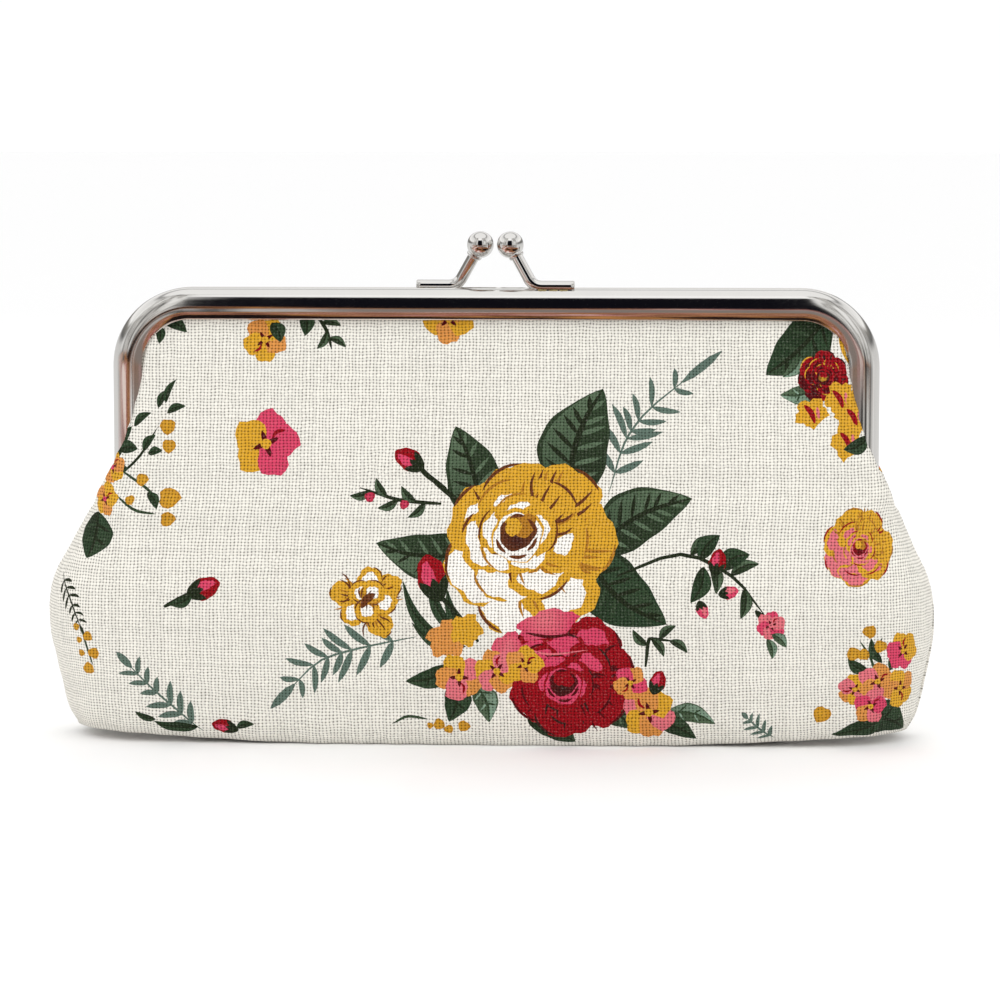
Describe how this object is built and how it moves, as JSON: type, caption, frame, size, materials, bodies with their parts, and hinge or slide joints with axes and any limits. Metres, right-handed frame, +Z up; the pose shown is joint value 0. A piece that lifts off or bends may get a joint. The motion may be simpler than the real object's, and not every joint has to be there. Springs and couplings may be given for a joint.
{
  "type": "kiss-lock coin purse",
  "caption": "Long kiss-lock coin purse: a printed cloth bag, padded and lined, held in a hinged metal channel frame that a ball clasp closes.",
  "frame": {"origin": "middle of the flat base, on the surface the purse stands on", "axes": "+X to the right along the mouth, +Y from the front panel to the rear panel, +Z up to the clasp"},
  "size_m": [0.19, 0.04, 0.1079],
  "materials": {
    "printed_cloth": "off-white cotton-linen plain weave with a multicoloured floral print",
    "interlining": "thin white non-woven interlining",
    "lining_cloth": "plain smooth lining cloth",
    "thread": "off-white sewing thread",
    "frame_metal": "polished nickel plate",
    "clasp_metal": "polished nickel plate",
    "rivet_metal": "polished nickel plate",
    "paper_cord": "twisted kraft paper cord"
  },
  "bodies": {
    "pouch": {"outer_front_lower": "printed_cloth", "outer_rear_lower": "printed_cloth", "padding_front_lower": "interlining", "padding_rear_lower": "interlining", "lining_front_lower": "lining_cloth", "lining_rear_lower": "lining_cloth", "seam_thread": "thread"},
    "front_half": {"front_outer_upper": "printed_cloth", "front_padding_upper": "interlining", "front_lining_upper": "lining_cloth", "front_frame": "frame_metal", "front_channel_cord": "paper_cord", "front_clasp_arm": "clasp_metal", "front_clasp_ball": "clasp_metal"},
    "rear_half": {"rear_outer_upper": "printed_cloth", "rear_padding_upper": "interlining", "rear_lining_upper": "lining_cloth", "rear_frame": "frame_metal", "rear_channel_cord": "paper_cord", "rear_clasp_arm": "clasp_metal", "rear_clasp_ball": "clasp_metal", "hinge_rivet_left": "rivet_metal", "hinge_rivet_right": "rivet_metal"}
  },
  "joints": [
    {"name": "front_hinge", "type": "hinge", "parent": "pouch", "child": "front_half", "pos_m": [0, 0, 0.054], "axis": [1, 0, 0], "range_deg": [0, 50]},
    {"name": "rear_hinge", "type": "hinge", "parent": "pouch", "child": "rear_half", "pos_m": [0, 0, 0.054], "axis": [-1, 0, 0], "range_deg": [0, 50]}
  ],
  "couplings": [
    {"joint": "rear_hinge", "follows": "front_hinge", "ratio": 1}
  ]
}
